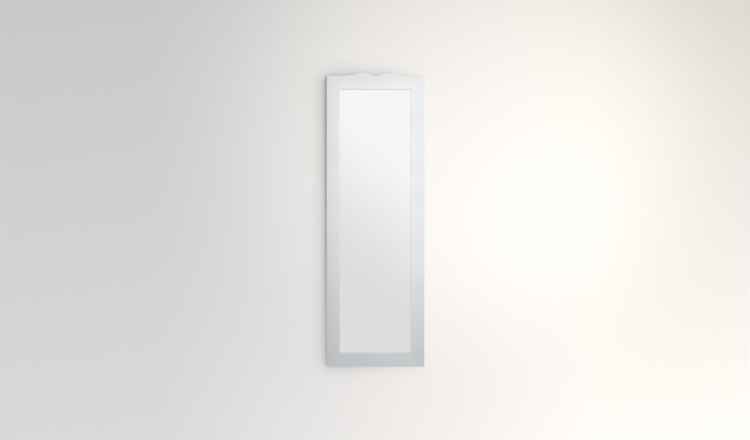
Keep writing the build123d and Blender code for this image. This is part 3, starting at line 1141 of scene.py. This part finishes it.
def makeWallPaint():
    # matt paint with a soft glow, whose change across and up is painted light and which is darkened beside
    # the frame as painted shadow; from behind the wall can't be seen
    material = bpy.data.materials.new("mattWallPaint")
    material.use_nodes = True
    tree = material.node_tree
    tree.nodes.clear()
    place = tree.nodes.new("ShaderNodeTexCoord").outputs["Object"]
    at = addNode(tree, "ShaderNodeSeparateXYZ", {0: place}).outputs
    reach = wallTone["glowReach"]
    side = ramp(tree, at["X"], -reach, reach, -reach, reach)
    up = calc(tree, "SUBTRACT", at["Z"], cameraSettings["height"])
    terms = (
        ("paintedLightAcross", side),
        ("paintedLightUp", up),
        ("paintedLightCorner", times(tree, side, up)),
        ("paintedLightCurve", times(tree, side, side)),
    )
    glow = vectorOf(tree, *wallTone["glow"])
    for name, term in terms:
        inputs = {0: wallTone[name], 1: vectorOf(tree, term, term, term), 2: glow}
        glow = addNode(tree, "ShaderNodeVectorMath", inputs, operation="MULTIPLY_ADD").outputs[0]
    # painted shadow: ambient occlusion darkens the glow beside the frame, most on its left
    openness = addNode(
        tree, "ShaderNodeAmbientOcclusion", {"Distance": wallTone["shadeReach"]}, samples=8
    ).outputs["AO"]
    seen = lightPath(tree)[1]
    sideShade = ramp(tree, at["X"], -halfWidth, halfWidth, wallTone["shadeLeft"], wallTone["shadeRight"])
    lowShade = ramp(tree, at["Z"], bottomZ, 100 * mm, wallTone["shadeBelow"], 1.0)
    shade = calc(tree, "POWER", openness, times(tree, sideShade, lowShade))
    strength = times(tree, seen, shade)
    matt = addNode(tree, "ShaderNodeBsdfDiffuse", {"Color": (*wallTone["paint"], 1)}).outputs[0]
    bright = addNode(tree, "ShaderNodeEmission", {"Color": glow, "Strength": strength}).outputs[0]
    lit = addNode(tree, "ShaderNodeAddShader", {0: matt, 1: bright}).outputs[0]
    clear = tree.nodes.new("ShaderNodeBsdfTransparent").outputs[0]
    behind = tree.nodes.new("ShaderNodeNewGeometry").outputs["Backfacing"]
    both = addNode(tree, "ShaderNodeMixShader", {0: behind, 1: lit, 2: clear}).outputs[0]
    addNode(tree, "ShaderNodeOutputMaterial", {"Surface": both})
    return material


floorTone = {"light": (0.8, 0.795, 0.78), "dark": (0.77, 0.765, 0.75), "glow": 0.45}


def makeFloorPaint():
    material = bpy.data.materials.new("paleFloor")
    material.use_nodes = True
    tree = material.node_tree
    tree.nodes.clear()
    place = tree.nodes.new("ShaderNodeTexCoord").outputs["Object"]
    grain = grainAt(tree, place, 8 * mm, 0.6)
    tone = mixColour(tree, grain["Patches"], floorTone["light"], floorTone["dark"])
    seen = lightPath(tree)[1]
    matt = addNode(tree, "ShaderNodeBsdfDiffuse", {"Color": tone}).outputs[0]
    strength = times(tree, seen, floorTone["glow"])
    bright = addNode(tree, "ShaderNodeEmission", {"Color": tone, "Strength": strength}).outputs[0]
    lit = addNode(tree, "ShaderNodeAddShader", {0: matt, 1: bright}).outputs[0]
    addNode(tree, "ShaderNodeOutputMaterial", {"Surface": lit})
    return material


half, wallY, wallTop, floorZ, reach = (
    roomSizes[k] for k in ("wallHalf", "wallY", "wallTop", "floorZ", "floorReach")
)
wallCorners = [(-half, wallY, floorZ), (half, wallY, floorZ), (half, wallY, wallTop), (-half, wallY, wallTop)]
wall = addPlane("wall", wallCorners, makeWallPaint())
wall.visible_shadow = False
wall.visible_diffuse = False
wall.visible_glossy = False
wall.visible_transmission = False
floorCorners = [
    (-half, -reach, floorZ), (half, -reach, floorZ), (half, reach, floorZ), (-half, reach, floorZ)
]
addPlane("floor", floorCorners, makeFloorPaint())

worldTone = {
    "ambient": (0.605, 0.618, 0.638),
    "ambientFromRight": 0.85,
    "ambientFromAbove": 0.2,
    "background": (0.86, 0.86, 0.85),
    "mirroredLow": (0.77, 0.77, 0.785),
    "mirroredHigh": (0.985, 0.985, 0.98),
    "mirroredFrom": -0.1035,  # the mirror shows a soft diagonal change between these slopes
    "mirroredTo": 0.129,
    "acrossWeight": 0.77,
    "backLow": (0.1, 0.1, 0.105),
    "backHigh": (0.95, 0.95, 0.94),
}


def makeWorld():
    world = bpy.data.worlds.new("softRoom")
    world.use_nodes = True
    tree = world.node_tree
    tree.nodes.clear()
    w = worldTone
    direction = tree.nodes.new("ShaderNodeTexCoord").outputs["Generated"]
    parts = addNode(tree, "ShaderNodeSeparateXYZ", {0: direction}).outputs
    slope = calc(tree, "ADD", times(tree, parts["X"], w["acrossWeight"]), parts["Z"])
    change = ramp(tree, slope, w["mirroredFrom"], w["mirroredTo"], smooth=True)
    inFront = mixColour(tree, change, w["mirroredLow"], w["mirroredHigh"])
    height = ramp(tree, parts["Z"], -0.5, 0.9, smooth=True)
    atBack = mixColour(tree, height, w["backLow"], w["backHigh"])
    mirrored = mixColour(tree, ramp(tree, parts["Y"], -0.25, 0.25, smooth=True), inFront, atBack)
    toCamera, seen = lightPath(tree)
    shown = mixColour(tree, toCamera, mirrored, w["background"])
    fromRight = times(tree, parts["X"], w["ambientFromRight"])
    fromAbove = times(tree, parts["Z"], w["ambientFromAbove"])
    share = calc(tree, "ADD", calc(tree, "ADD", fromRight, fromAbove), 1.0)
    ambient = addNode(
        tree, "ShaderNodeVectorMath", {0: w["ambient"], "Scale": share}, operation="SCALE"
    ).outputs[0]
    colour = mixColour(tree, seen, ambient, shown)
    background = addNode(tree, "ShaderNodeBackground", {"Color": colour, "Strength": 1.0}).outputs[0]
    addNode(tree, "ShaderNodeOutputWorld", {"Surface": background})
    scene.world = world


makeWorld()

lampSettings = {
    "window": {
        "place": (0.7, -2.6, -0.2),
        "aim": (0.42, 0, 0.04),
        "radius": 0.25,
        "cone": 50,
        "power": 129,
        "colour": (1.0, 0.985, 0.955),
    },
    "backFill": {
        "place": (-1.0, 2.5, 1.2),
        "aim": (0, 0, -0.4),
        "radius": 0.6,
        "cone": 70,
        "power": 60,
        "colour": (1, 1, 1),
    },
}
for name, lamp in lampSettings.items():
    light = bpy.data.lights.new(name, "SPOT")
    light.shadow_soft_size = lamp["radius"]
    light.spot_size = radians(lamp["cone"])
    light.spot_blend = 1.0
    light.energy = lamp["power"]
    light.color = lamp["colour"]
    lampObject = bpy.data.objects.new(name, light)
    lampObject.location = lamp["place"]
    beam = Vector(lamp["aim"]) - Vector(lamp["place"])
    lampObject.rotation_euler = beam.to_track_quat("-Z", "Y").to_euler()
    lampObject.visible_glossy = False
    scene.collection.objects.link(lampObject)

camera = bpy.data.cameras.new("camera")
camera.lens = cameraSettings["lens"]
cameraObject = bpy.data.objects.new("camera", camera)
cameraObject.location = (
    cameraSettings["aside"], faceY - cameraSettings["distance"], cameraSettings["height"]
)
cameraObject.rotation_euler = (pi / 2, 0, 0)
scene.collection.objects.link(cameraObject)
scene.camera = cameraObject
scene.view_settings.view_transform = "Standard"
say("room")
